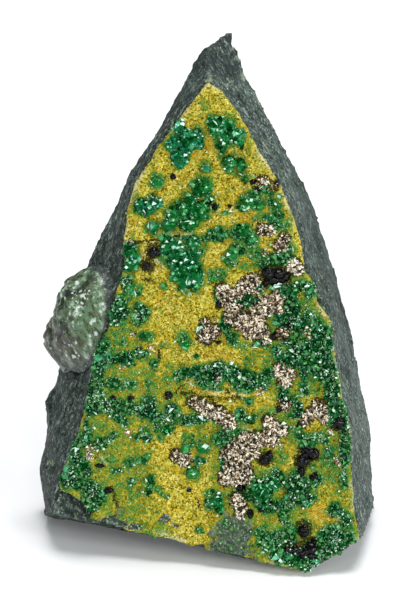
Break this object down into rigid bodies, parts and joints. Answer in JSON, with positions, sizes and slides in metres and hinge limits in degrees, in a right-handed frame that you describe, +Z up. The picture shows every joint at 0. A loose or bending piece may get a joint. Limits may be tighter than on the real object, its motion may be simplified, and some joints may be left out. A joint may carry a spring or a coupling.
{
  "type": "mineral specimen",
  "caption": "Steep wedge of dark sulphide rock standing on its broken foot, one leaning face covered in ochre crust with small green, tan and black crystals.",
  "frame": {"origin": "under the middle of the specimen's bounding box, on the surface it stands on", "axes": "+Z up, towards the summit; -Y is the side that the crusted face leans back from; +X to the right of that face"},
  "size_m": [0.0308, 0.0188, 0.0441],
  "materials": {
    "rock": "satin",
    "ochre": "matte",
    "quartz": "gloss",
    "green_crystal": "gloss",
    "tan_crystal": "satin",
    "black_crystal": "gloss"
  },
  "bodies": {
    "root": {"black_ball": "black_crystal", "black_bead": "black_crystal", "black_foot": "black_crystal", "black_hollow": "black_crystal", "black_pair": "black_crystal", "black_right": "black_crystal", "black_shelf": "black_crystal", "black_vug": "black_crystal", "carpet_belt": "green_crystal", "carpet_corner": "green_crystal", "carpet_foot": "green_crystal", "carpet_left": "green_crystal", "carpet_left_low": "green_crystal", "carpet_right": "green_crystal", "carpet_rim": "green_crystal", "green_crown_left": "green_crystal", "green_crown_right": "green_crystal", "green_left_pair": "green_crystal", "green_left_rim": "green_crystal", "green_low_group": "green_crystal", "green_low_rosette": "green_crystal", "green_middle_mass": "green_crystal", "green_right_pair": "green_crystal", "green_right_trio": "green_crystal", "green_shoulder": "green_crystal", "green_single_belly": "green_crystal", "green_single_left": "green_crystal", "green_single_low_a": "green_crystal", "green_single_low_b": "green_crystal", "green_single_low_c": "green_crystal", "green_single_rim": "green_crystal", "green_single_shelf": "green_crystal", "green_single_tip": "green_crystal", "green_single_wedge": "green_crystal", "green_upper_knob": "green_crystal", "green_upper_mass": "green_crystal", "matrix_rock": "rock", "ochre_crust": "ochre", "quartz_lump": "quartz", "tan_brown": "tan_crystal", "tan_claw": "tan_crystal", "tan_foot": "tan_crystal", "tan_heart": "tan_crystal", "tan_mass": "tan_crystal", "tan_oval": "tan_crystal", "tan_pebble": "tan_crystal", "tan_right": "tan_crystal", "tan_rim": "tan_crystal", "tan_round": "tan_crystal", "tan_stripe": "tan_crystal", "tan_top": "tan_crystal", "tan_upper_bar": "tan_crystal", "tan_upper_lump": "tan_crystal"}
  },
  "joints": []
}
